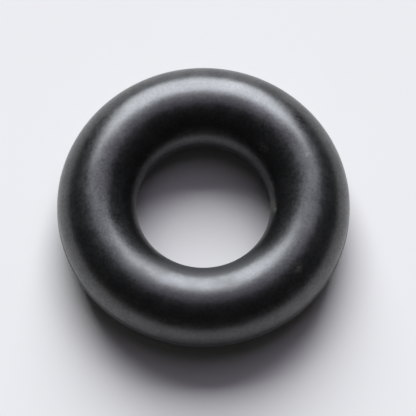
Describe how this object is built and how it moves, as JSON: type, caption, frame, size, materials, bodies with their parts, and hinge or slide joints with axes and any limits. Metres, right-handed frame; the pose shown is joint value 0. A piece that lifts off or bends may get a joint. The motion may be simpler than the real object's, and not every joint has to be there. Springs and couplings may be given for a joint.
{
  "type": "rubber o-ring",
  "caption": "Thick moulded rubber sealing ring with a round cross-section, lying flat.",
  "frame": {"origin": "centre of the ring: on its axis, at half its thickness", "axes": "+Z along the ring's axis, up from the surface it lies on; the ring is the same all round, so X and Y are free"},
  "size_m": [0.013, 0.013, 0.0036],
  "materials": {
    "rubber": "smooth moulded black nitrile rubber with a soft satin sheen"
  },
  "bodies": {
    "root": {"o_ring": "rubber"}
  },
  "joints": []
}
